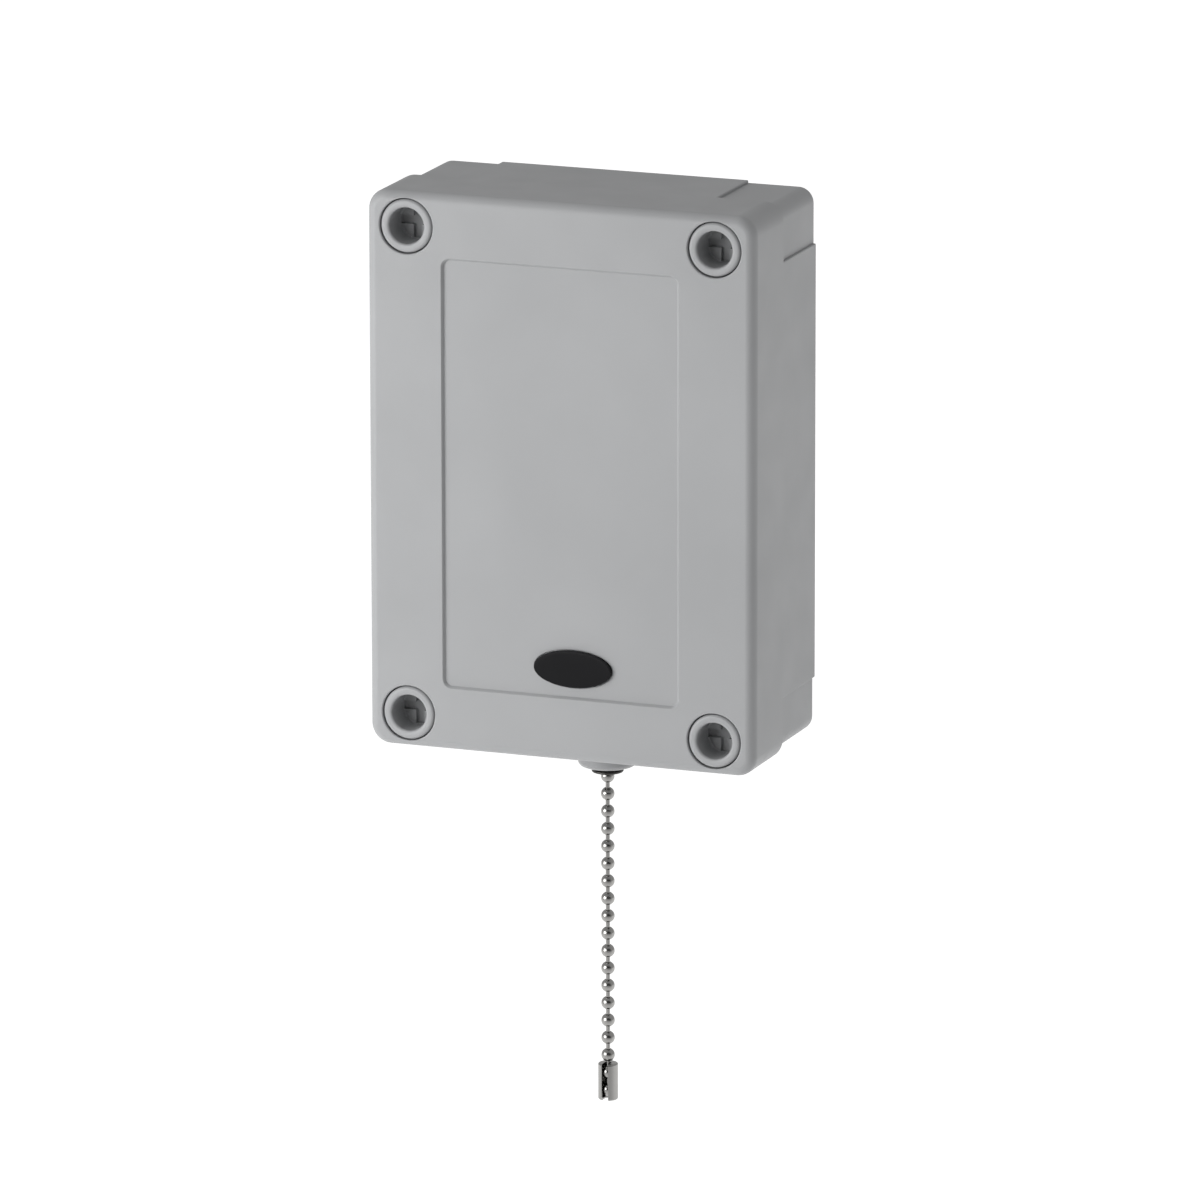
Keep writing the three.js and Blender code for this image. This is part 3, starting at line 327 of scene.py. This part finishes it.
def add_noise(tree, scale, detail):
    """Noise that is fixed to the piece."""
    place = tree.nodes.new("ShaderNodeTexCoord")
    noise = tree.nodes.new("ShaderNodeTexNoise")
    noise.inputs["Scale"].default_value = scale
    noise.inputs["Detail"].default_value = detail
    tree.links.new(place.outputs["Object"], noise.inputs["Vector"])
    return noise


def add_colour_drift(tree, shader, low, high, scale):
    """The colour wanders a little between two close shades."""
    noise = add_noise(tree, scale, 3)
    ramp = tree.nodes.new("ShaderNodeValToRGB")
    ramp.color_ramp.elements[0].position = 0.35
    ramp.color_ramp.elements[1].position = 0.65
    ramp.color_ramp.elements[0].color = (*low, 1)
    ramp.color_ramp.elements[1].color = (*high, 1)
    tree.links.new(noise.outputs["Fac"], ramp.inputs["Fac"])
    tree.links.new(ramp.outputs["Color"], shader.inputs["Base Color"])


def add_roughness_drift(tree, shader, low, high, scale):
    """The gloss wanders between two values."""
    noise = add_noise(tree, scale, 4)
    spread = tree.nodes.new("ShaderNodeMapRange")
    spread.inputs["From Min"].default_value = 0.3
    spread.inputs["From Max"].default_value = 0.7
    spread.inputs["To Min"].default_value = low
    spread.inputs["To Max"].default_value = high
    tree.links.new(noise.outputs["Fac"], spread.inputs["Value"])
    tree.links.new(spread.outputs["Result"], shader.inputs["Roughness"])


def add_grain(tree, shader, scale, strength, height):
    """Fine relief of a moulded or worked surface."""
    noise = add_noise(tree, scale, 5)
    bump = tree.nodes.new("ShaderNodeBump")
    bump.inputs["Strength"].default_value = strength
    bump.inputs["Distance"].default_value = height
    tree.links.new(noise.outputs["Fac"], bump.inputs["Height"])
    tree.links.new(bump.outputs["Normal"], shader.inputs["Normal"])


def shade(colour, factor):
    """A lighter or darker tone of a colour."""
    return tuple(min(1, channel * factor) for channel in colour)


def plastic(name, colour, rough, grain=0.12, drift=0.03, scale=2200, gloss=0.5):
    """A moulded plastic with a fine grain."""
    material, tree, shader = new_material(name)
    shader.inputs["Specular IOR Level"].default_value = gloss
    add_colour_drift(tree, shader, shade(colour, 1 - drift), shade(colour, 1 + drift), 26)
    add_roughness_drift(tree, shader, rough - 0.05, rough + 0.05, 90)
    add_grain(tree, shader, scale, grain, 0.0001)
    return material


def metal(name, colour, rough, grain=0.05, drift=0.05, scale=900):
    """A plated or bare metal with faint wear in its gloss."""
    material, tree, shader = new_material(name)
    shader.inputs["Metallic"].default_value = 1
    add_colour_drift(tree, shader, shade(colour, 1 - drift), shade(colour, 1 + drift), 60)
    add_roughness_drift(tree, shader, rough - 0.04, rough + 0.06, 300)
    add_grain(tree, shader, scale, grain, 0.00005)
    return material


GREY = (0.361, 0.366, 0.373)
MATERIALS = {
    "housing": plastic("housing_plastic", GREY, 0.5),
    "lid_screws": plastic("screw_plastic", shade(GREY, 1.0), 0.45, 0.08),
    "bush": plastic("bush_plastic", shade(GREY, 0.92), 0.45, 0.08),
    "badge": plastic("badge_gloss", (0.005, 0.005, 0.006), 0.16, 0.02, 0.1, gloss=0.25),
    "rubber": plastic("seal_rubber", (0.02, 0.02, 0.02), 0.8, 0.3, 0.15),
    "dark_metal": metal("eyelet_metal", (0.07, 0.068, 0.065), 0.32),
    "nickel": metal("nickel_plate", (0.36, 0.355, 0.345), 0.2),
    "steel": metal("zinc_steel", (0.58, 0.58, 0.57), 0.32),
    "tinplate": metal("tin_plate", (0.66, 0.66, 0.65), 0.38),
    "brass": metal("spring_brass", (0.62, 0.42, 0.16), 0.3),
    "copper": metal("copper_wire", (0.62, 0.28, 0.15), 0.3),
    "nylon": plastic("natural_nylon", (0.78, 0.76, 0.7), 0.45, 0.05),
    "black_plastic": plastic("black_plastic", (0.014, 0.014, 0.015), 0.42, 0.15, 0.12),
    "board": plastic("solder_mask", (0.012, 0.1, 0.035), 0.3, 0.03, 0.1),
    "cell": plastic("cell_sleeve", (0.12, 0.17, 0.23), 0.28, 0.02, 0.06),
    "capacitor": plastic("capacitor_sleeve", (0.02, 0.028, 0.07), 0.3, 0.02, 0.08),
}


def dress(made, slot):
    """Gives a piece the finish of its slot."""
    made.data.materials.clear()
    made.data.materials.append(MATERIALS[slot])


def stand_for(made, node, body="housing"):
    """Puts a fine piece in the place of a node, on the node's body."""
    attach(made, body)
    dress(made, SLOT_OF[node])
    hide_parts(node)
    return made


def rounded_prism(name, width, height, radius, depths, steps, centre=(0, 0)):
    """A straight block on a rounded rectangle, between two depths."""
    return loft(name, [rounded_rectangle(width, height, radius, depth, steps, centre) for depth in depths])


def soft_block(name, low, high, edge=0):
    """A block, with its edges rounded where an edge radius is given."""
    corners = [(x, y, z) for x in (low[0], high[0]) for y in (low[1], high[1]) for z in (low[2], high[2])]
    faces = [(0, 1, 3, 2), (4, 6, 7, 5), (0, 4, 5, 1), (2, 3, 7, 6), (0, 2, 6, 4), (1, 5, 7, 3)]
    built = bmesh.new()
    points = [built.verts.new(corner) for corner in corners]
    for face in faces:
        built.faces.new([points[i] for i in face])
    bmesh.ops.recalc_face_normals(built, faces=built.faces)
    if edge:
        bmesh.ops.bevel(
            built, geom=list(built.edges), offset=edge, segments=4, profile=0.5, affect="EDGES",
        )
    return object_of(built, name)


def peg(name, radius, depths, x, z, sides=COARSE_SIDES):
    """A round bar that stands out from the wall."""
    start, stop = depths
    profile = [(0, start), (radius, start), (radius, stop), (0, stop)]
    return turned(name, profile, sides, (x, 0, z), OUTWARD)


def corner_pegs(name, radius, depths, x, z, sides=COARSE_SIDES):
    """The same peg near each corner of the box."""
    return [peg(name, radius, depths, side * x, end * z, sides) for side, end in FOUR_CORNERS]


def pull_axis():
    """A point on the line that the chain and its fitting share, at the height of the origin."""
    low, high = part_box("chain_bush")
    return ((low.x + high.x) / 2, (low.y + high.y) / 2, 0)


def pull_bar(name, radius, low, high, sides):
    """A round bar on the pull axis."""
    profile = [(0, low), (radius, low), (radius, high), (0, high)]
    return turned(name, profile, sides, pull_axis(), UPWARD)


# The housing


def build_lid():
    """An open shell with a rounded front edge, screw columns and wells, label recess and badge seat."""
    low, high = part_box("lid")
    width = high.x - low.x
    height = high.z - low.z
    back = -high.y
    front = -low.y
    rings = [rounded_rectangle(width, height, LID_CORNER, back, CORNER_STEPS)]
    for i in range(FILLET_STEPS + 1):
        angle = math.pi / 2 * i / FILLET_STEPS
        inset = FRONT_FILLET * (1 - math.cos(angle))
        depth = front - FRONT_FILLET + FRONT_FILLET * math.sin(angle)
        rings.append(rounded_rectangle(
            width - 2 * inset, height - 2 * inset, LID_CORNER - inset, depth, CORNER_STEPS,
        ))
    shell = loft("lid_shell", rings)
    cavity = rounded_prism(
        "cavity", width - 2 * LID_WALL, height - 2 * LID_WALL, LID_CORNER - LID_WALL,
        (back - OVERRUN, front - LID_FRONT), CORNER_STEPS,
    )
    combine(shell, [cavity], "DIFFERENCE")
    columns = corner_pegs("column", LID_COLUMN_RADIUS, (back, front - LID_FRONT), SCREW_X, SCREW_Z, SIDES)
    combine(shell, columns, "UNION")
    combine(shell, [panel_cutter(front), badge_cutter(front)], "DIFFERENCE")
    combine(shell, [well_cutter(front, side, end) for side, end in FOUR_CORNERS], "DIFFERENCE")
    stand_for(smooth(shell), "lid")


def panel_cutter(front):
    """The label panel's recess: a sloped edge with a small round at its top and foot."""
    floor = front - PANEL_DEPTH
    profile = [(out * PANEL_SLOPE, floor + rise * PANEL_DEPTH) for out, rise in PANEL_EDGE_SHARES]
    profile.append((profile[-1][0], front + OVERRUN))
    return loft("panel", [
        rounded_rectangle(
            PANEL_WIDTH + 2 * grow, PANEL_HEIGHT + 2 * grow, PANEL_CORNER + grow, depth, PANEL_CORNER_STEPS,
        )
        for grow, depth in profile
    ])


def badge_cutter(front):
    """The seat that the badge is glued into."""
    low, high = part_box("badge")
    width = high.x - low.x + 2 * BADGE_GAP
    height = high.z - low.z + 2 * BADGE_GAP
    centre = ((low.x + high.x) / 2, (low.z + high.z) / 2)
    floor = front - PANEL_DEPTH - BADGE_SEAT
    return loft("badge_seat", [
        ellipse(width, height, depth, FINE_SIDES, centre) for depth in (floor, front + OVERRUN)
    ])


def well_cutter(front, side, end):
    """A lid screw's well, with a small round where it breaks the front, and its bore."""
    radius = 6.5 * MM
    lip = 0.35 * MM
    seat = front - 9 * MM
    bore = 3.1 * MM
    back = -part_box("lid")[1].y
    profile = [(0, back - OVERRUN), (bore, back - OVERRUN), (bore, seat), (radius, seat)]
    profile += arc(radius + lip, front - lip, lip, 180, 90, EDGE_STEPS)
    profile += [(radius + lip, front + OVERRUN), (0, front + OVERRUN)]
    return turned("well", profile, FINE_SIDES, (side * SCREW_X, 0, end * SCREW_Z), OUTWARD)


def build_lid_screw(number, side, end):
    """A cupped round head with cross slots in the floor of the cup, and a plain shank."""
    node = f"lid_screw_{number}"
    low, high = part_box(node)
    top = -low.y
    tip = -high.y
    seat = top - 8.6 * MM
    head = 6.25 * MM
    cup = 4.25 * MM
    cup_floor = top - 7.2 * MM
    cup_foot = 0.4 * MM
    shank = 2.7 * MM
    point = 1.2 * MM
    edge = 0.75 * MM
    rim = 0.6 * MM
    profile = [(0, tip), (shank - point, tip), (shank, tip + point), (shank, seat), (head, seat)]
    profile += arc(head - edge, top - edge, edge, 0, 90, 6)
    profile += arc(cup + rim, top - rim, rim, 90, 180, EDGE_STEPS)
    profile += [(cup, cup_floor + cup_foot), (cup - cup_foot, cup_floor), (0, cup_floor)]
    x = side * SCREW_X
    z = end * SCREW_Z
    screw = turned(f"screw_{number}", profile, FINE_SIDES, (x, 0, z), OUTWARD)
    slot_reach = 4.1 * MM
    slot_half = 1 * MM
    slot_floor = cup_floor - 1.2 * MM
    slot_top = cup_floor + 2 * MM
    slots = [
        soft_block("slot", (x - along, -slot_top, z - across), (x + along, -slot_floor, z + across))
        for along, across in ((slot_reach, slot_half), (slot_half, slot_reach))
    ]
    combine(screw, slots, "DIFFERENCE")
    stand_for(smooth(screw), node)


def build_base():
    """The rear tray: set-back corners, proud panels, pillars, board posts, a lip and slots in the back."""
    low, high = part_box("lid")
    width = high.x - low.x - 2 * BASE_INSET
    height = high.z - low.z - 2 * BASE_INSET
    corner = LID_CORNER - BASE_INSET
    rim = -high.y - SEAT_GAP
    rings = []
    for i in range(BACK_EDGE_STEPS + 1):
        angle = math.pi / 2 * i / BACK_EDGE_STEPS
        inset = BACK_EDGE * (1 - math.sin(angle))
        depth = BACK_EDGE * (1 - math.cos(angle))
        rings.append(rounded_rectangle(
            width - 2 * inset, height - 2 * inset, corner - inset, depth, CORNER_STEPS,
        ))
    rings.append(rounded_rectangle(width, height, corner, rim, CORNER_STEPS))
    tray = loft("base_tray", rings)
    combine(tray, base_panels(width, height, rim), "UNION")
    wide = 0.1
    beyond = soft_block("beyond", (-wide, -rim - wide, -wide), (wide, -rim, wide))
    cavity = rounded_prism(
        "base_cavity", width - 2 * BASE_WALL, height - 2 * BASE_WALL, corner - BASE_WALL,
        (BASE_BACK, rim + OVERRUN), 6,
    )
    combine(tray, [beyond, cavity], "DIFFERENCE")
    pillars = corner_pegs("pillar", PILLAR_RADIUS, (1 * MM, rim), SCREW_X, SCREW_Z)
    posts = corner_pegs("post", POST_RADIUS, (1 * MM, POST_TOP), POST_X, POST_Z)
    combine(tray, [*pillars, *posts, base_lip(width, height, rim)], "UNION")
    bores = corner_pegs("bore", PILLAR_BORE_RADIUS, (PILLAR_BORE_FLOOR, rim + OVERRUN), SCREW_X, SCREW_Z)
    bores += corner_pegs("post_bore", POST_BORE_RADIUS, (POST_BORE_FLOOR, POST_TOP + OVERRUN), POST_X, POST_Z)
    slots = [
        rounded_prism("slot", SLOT_LONG, SLOT_WIDE, SLOT_WIDE / 2, (-OVERRUN, BASE_BACK + OVERRUN),
                      ROUND_STEPS, (side * SLOT_X, end * SLOT_Z))
        for side, end in FOUR_CORNERS
    ]
    hole_low = low.z - OVERRUN
    hole = pull_bar("bush_hole", BUSH_HOLE_RADIUS, hole_low, hole_low + BUSH_HOLE_LONG, COARSE_SIDES)
    combine(tray, [*bores, *slots, hole], "DIFFERENCE")
    stand_for(smooth(tray), "base")


def base_panels(width, height, rim):
    """The proud panels: one block through both sides and one through both ends, cut off later at the rim."""
    panel_x = width / 2 + SIDE_PANEL
    panel_z = height / 2 + SIDE_PANEL
    reach_x = width / 2 - END_PANEL_SHORT
    reach_z = height / 2 - SIDE_PANEL_SHORT
    front = -rim - 2 * OVERRUN
    return [
        soft_block(name, (-half_x, front, -half_z), (half_x, -SIDE_PANEL_BACK, half_z), SIDE_PANEL_ROUND)
        for name, half_x, half_z in (("side_panel", panel_x, reach_z), ("end_panel", reach_x, panel_z))
    ]


def base_lip(width, height, rim):
    """The lip that reaches into the lid, open where the lid's screw columns come down."""
    lip_width = width + 2 * BASE_INSET - 2 * LIP_INSET
    lip_height = height + 2 * BASE_INSET - 2 * LIP_INSET
    lip = rounded_prism(
        "lip", lip_width, lip_height, LIP_CORNER, (rim - 2 * OVERRUN, rim + LIP_HIGH), ROUND_STEPS,
    )
    inside = rounded_prism(
        "lip_inside", lip_width - 2 * LIP_THICK, lip_height - 2 * LIP_THICK, LIP_CORNER - LIP_THICK,
        (rim - 4 * OVERRUN, rim + 4 * OVERRUN), ROUND_STEPS,
    )
    spaces = corner_pegs("column_space", COLUMN_SPACE_RADIUS, (rim, rim + 5 * OVERRUN), SCREW_X, SCREW_Z)
    return combine(lip, [inside, *spaces], "DIFFERENCE")


def build_badge():
    """A domed gloss oval with a thin rim."""
    low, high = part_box("badge")
    width = high.x - low.x
    height = high.z - low.z
    centre = ((low.x + high.x) / 2, (low.z + high.z) / 2)
    back = -high.y
    front = -low.y
    edge = 0.35 * MM
    dome = 0.1 * edge
    rings = [ellipse(width, height, back, FINE_SIDES, centre)]
    rings += [
        ellipse(width - 2 * inset * edge, height - 2 * inset * edge, front - below * edge, FINE_SIDES, centre)
        for inset, below in BADGE_EDGE_SHARES
    ]
    for i in range(1, DOME_STEPS):
        left = 1 - i / DOME_STEPS
        depth = front - dome * left ** 2
        rings.append(ellipse(
            (width - 2 * edge) * left, (height - 2 * edge) * left, depth, FINE_SIDES, centre,
        ))
    stand_for(smooth(loft("badge_oval", rings)), "badge")


# The pull chain and its fitting


def build_bush():
    """The grey fitting: a flange with a rounded foot, and a threaded shank up through the wall."""
    low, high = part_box("chain_bush")
    flange = 6.9 * MM
    bottom = low.z + 0.6 * MM
    top = high.z
    shoulder = low.z + 7.7 * MM
    foot_round = 1.2 * MM
    edge = 0.3 * MM
    bore = 3 * MM
    neck = 2.1 * MM
    neck_bottom = top - 2.6 * MM
    shank = 5 * MM
    profile = [(bore + edge, bottom)]
    profile += arc(flange - foot_round, bottom + foot_round, foot_round, -90, 0, 10)
    profile += arc(flange - edge, shoulder - edge, edge, 0, 90, EDGE_STEPS)
    profile += [(shank, shoulder), (shank, top), (neck, top), (neck, neck_bottom), (bore, neck_bottom)]
    profile += [(bore, bottom + edge), (bore + edge, bottom)]
    stand_for(smooth(turned("bush_body", profile, FINE_SIDES, pull_axis(), UPWARD)), "chain_bush")


def build_eyelet():
    """The ring that the chain runs out of: a round-edged flange and a barrel with a flared mouth."""
    low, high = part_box("eyelet")
    bottom = low.z
    top = high.z
    flange = (high.x - low.x) / 2
    edge = 0.35 * MM
    flare = 2 * edge
    inner = 2.1 * MM
    barrel = 2.7 * MM
    profile = arc(flange - edge, bottom + edge, edge, -90, 90, 10)
    profile += [(barrel, bottom + 2 * edge), (barrel, top), (inner, top), (inner, bottom + 3 * edge)]
    profile += arc(inner + flare, bottom + flare, flare, 195, 270, 5)
    profile.append(profile[0])
    stand_for(smooth(turned("eyelet_ring", profile, SIDES, pull_axis(), UPWARD)), "eyelet")


def build_connector():
    """A sleeve round the chain's last beads, slit along its front."""
    low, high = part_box("chain_connector")
    outer = (high.x - low.x) / 2
    shoulder = 0.4 * MM
    inner = 1.9 * MM
    neck = 0.8 * MM
    profile = [(0, low.z)] + arc(outer - shoulder, low.z + shoulder, shoulder, -90, 0, 6)
    profile += arc(outer - shoulder, high.z - shoulder, shoulder, 0, 90, 6) + [(0, high.z)]
    sleeve = turned("connector_sleeve", profile, SIDES, pull_axis(), UPWARD)
    below = low.z - OVERRUN
    above = high.z + OVERRUN
    cutters = [
        pull_bar("hollow", inner, low.z + shoulder, high.z - shoulder, SIDES),
        pull_bar("neck", neck, below, above, 32),
        soft_block("slit", (-neck, low.y - OVERRUN, below), (neck, pull_axis()[1], above)),
    ]
    combine(sleeve, cutters, "DIFFERENCE")
    return stand_for(smooth(sleeve), "chain_connector", "pull")


def build_chain(connector):
    """Hollow balls on short links; each ball is dimpled where a link enters it."""
    low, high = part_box("bead_chain")
    ball = BEAD / 2
    link = LINK / 2
    dimple = 0.8 * MM
    dimple_foot = dimple - 0.15 * MM
    dimple_deep = 0.12 * MM
    link_rise = 0.02 * MM
    centre = pull_axis()
    enter = math.degrees(math.acos(dimple / ball))
    pole = ball * math.sin(math.radians(enter)) - dimple_deep
    count = round((high.z - low.z - BEAD) / BEAD_PITCH) + 1
    profile = [(0, low.z)]
    for i in range(count):
        z = low.z + ball + i * BEAD_PITCH
        start = -90 if i == 0 else -enter
        stop = 90 if i == count - 1 else enter
        outline = arc(0, z, ball, start, stop, 16)
        if i > 0:
            profile += [(link, z - pole - link_rise), (dimple_foot, z - pole)]
        profile += outline[1:] if i == 0 else outline
        if i < count - 1:
            profile += [(dimple_foot, z + pole), (link, z + pole + link_rise)]
    profile = profile[:-1] + [(0, high.z)]
    chain = turned("chain_beads", profile, 32, centre, UPWARD)
    stand_for(smooth(chain, 40), "bead_chain", "pull")


# The solids, the floor and the light


def dress_nodes():
    """The solids that stay as they are get their finish and smooth shading."""
    for name, node in NODES.items():
        dress(node, SLOT_OF[name])
        if not node.hide_render:
            smooth(node)


def make_stage():
    """A pale floor that glows behind the box and is dimmer in front of it."""
    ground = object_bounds()[0].z - 0.09
    half = 12
    corners = [(-half, -half, ground), (half, -half, ground), (half, half, ground), (-half, half, ground)]
    floor = mesh_object("floor", corners, [(0, 1, 2, 3)])
    material, tree, shader = new_material("floor_white")
    shader.inputs["Base Color"].default_value = (0.92, 0.92, 0.92, 1)
    shader.inputs["Roughness"].default_value = 0.9
    shader.inputs["Emission Color"].default_value = (1, 1, 1, 1)
    place = tree.nodes.new("ShaderNodeTexCoord")
    parts = tree.nodes.new("ShaderNodeSeparateXYZ")
    glow = tree.nodes.new("ShaderNodeMapRange")
    glow.inputs["From Min"].default_value = -0.3
    glow.inputs["From Max"].default_value = 0.08
    glow.inputs["To Min"].default_value = 0.02
    glow.inputs["To Max"].default_value = 0.62
    tree.links.new(place.outputs["Object"], parts.inputs["Vector"])
    tree.links.new(parts.outputs["Y"], glow.inputs["Value"])
    tree.links.new(glow.outputs["Result"], shader.inputs["Emission Strength"])
    floor.data.materials.append(material)


def area_light(name, place, aim, size, power):
    """A soft rectangular lamp that faces a point."""
    data = bpy.data.lights.new(name, "AREA")
    data.shape = "RECTANGLE"
    data.size, data.size_y = size
    data.energy = power
    lamp = bpy.data.objects.new(name, data)
    lamp.location = place
    lamp.rotation_mode = "QUATERNION"
    lamp.rotation_quaternion = (Vector(place) - Vector(aim)).to_track_quat("Z", "Y")
    bpy.context.scene.collection.objects.link(lamp)


def make_light():
    """A pale studio, dim in front of the box so that bright metal keeps a dark core, and two lamps."""
    world = bpy.data.worlds.new("studio")
    world.use_nodes = True
    tree = world.node_tree
    sky = tree.nodes["Background"]
    sky.inputs["Color"].default_value = (1, 1, 1, 1)
    place = tree.nodes.new("ShaderNodeTexCoord")
    toward = tree.nodes.new("ShaderNodeVectorMath")
    toward.operation = "DOT_PRODUCT"
    toward.inputs[1].default_value = (0.42, -0.91, 0)
    spread = tree.nodes.new("ShaderNodeMapRange")
    spread.inputs["From Min"].default_value = 0.5
    spread.inputs["From Max"].default_value = 0.8
    spread.inputs["To Min"].default_value = 0.54
    spread.inputs["To Max"].default_value = 0.05
    tree.links.new(place.outputs["Generated"], toward.inputs[0])
    tree.links.new(toward.outputs["Value"], spread.inputs["Value"])
    tree.links.new(spread.outputs["Result"], sky.inputs["Strength"])
    bpy.context.scene.world = world
    middle = (0, -0.04, 0)
    area_light("key_left", (-0.34, -0.38, 0.02), middle, (0.22, 0.3), 1.25)
    area_light("soft_front", (-0.9, -2.2, 0.5), middle, (1.2, 1.2), 15)


build_chain(build_connector())
build_base()
build_lid()
for index, (side_sign, end_sign) in enumerate(FOUR_CORNERS, 1):
    build_lid_screw(index, side_sign, end_sign)
build_badge()
build_bush()
build_eyelet()
dress_nodes()
make_stage()
make_light()
bpy.context.scene.view_settings.view_transform = "Standard"
